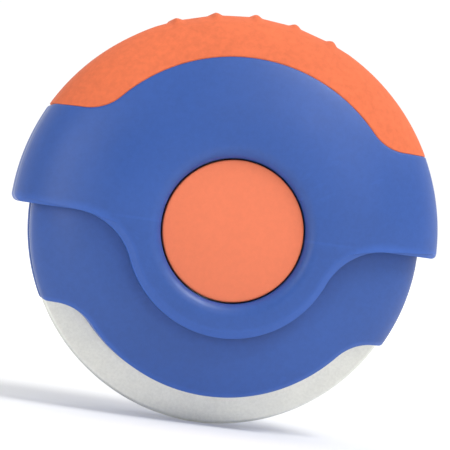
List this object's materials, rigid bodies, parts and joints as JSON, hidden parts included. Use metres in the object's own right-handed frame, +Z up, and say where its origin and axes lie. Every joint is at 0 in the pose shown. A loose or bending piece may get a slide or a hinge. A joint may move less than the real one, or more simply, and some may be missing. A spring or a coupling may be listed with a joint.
{
  "type": "tracing wheel",
  "caption": "Palm-held tracing wheel: domed round handle with a ribbed soft grip, a turning guard with a wave-shaped cut-out, a smooth steel wheel and a round push button.",
  "frame": {"origin": "the point where the wheel meets the work, straight under the axle, midway between the front and rear faces", "axes": "+Z up from the work to the palm grip, +Y along the axle from the push button towards the plain rear face, +X across the tool along the work"},
  "size_m": [0.066, 0.0264, 0.0634],
  "materials": {
    "blue_plastic": "satin moulded plastic with a fine spark texture",
    "orange_rubber": "matte soft overmould",
    "orange_plastic": "matte moulded plastic",
    "satin_steel": "satin",
    "zinc_plate": "bright zinc plate",
    "spring_steel": "drawn wire",
    "natural_nylon": "natural, unpainted",
    "black_acetal": "smooth"
  },
  "bodies": {
    "handle": {"front_handle": "blue_plastic", "rear_handle": "blue_plastic", "palm_grip": "orange_rubber", "front_glide_ring": "black_acetal", "rear_glide_ring": "black_acetal", "axle_bolt": "zinc_plate", "bolt_washer": "zinc_plate", "axle_nut": "zinc_plate", "axle_sleeve": "satin_steel", "clamp_plate": "zinc_plate", "wave_washer": "spring_steel", "stop_pin": "satin_steel", "rim_dowel_left": "satin_steel", "rim_dowel_right": "satin_steel", "button_spring": "spring_steel"},
    "guard": {"front_guard": "blue_plastic", "rear_guard": "blue_plastic", "guard_hub": "natural_nylon", "guard_screw_1": "zinc_plate", "guard_screw_2": "zinc_plate", "guard_screw_3": "zinc_plate", "hub_screw_1": "zinc_plate", "hub_screw_2": "zinc_plate", "hub_screw_3": "zinc_plate"},
    "wheel": {"tracing_wheel": "satin_steel", "wheel_bush": "black_acetal", "wheel_retainer": "zinc_plate"},
    "button": {"push_button": "orange_plastic", "brake_ring": "black_acetal"}
  },
  "joints": [
    {"name": "guard_turn", "type": "hinge", "parent": "handle", "child": "guard", "pos_m": [0, 0, 0.03], "axis": [0, -1, 0], "range_deg": [0, 180]},
    {"name": "wheel_spin", "type": "hinge", "parent": "guard", "child": "wheel", "pos_m": [0, 0, 0.03], "axis": [0, -1, 0], "continuous": true},
    {"name": "button_press", "type": "slide", "parent": "handle", "child": "button", "axis": [0, 1, 0], "range_m": [0, 0.0012], "stiffness_N_per_m": 400, "springref_m": -0.004, "deforming": ["button_spring"]}
  ]
}
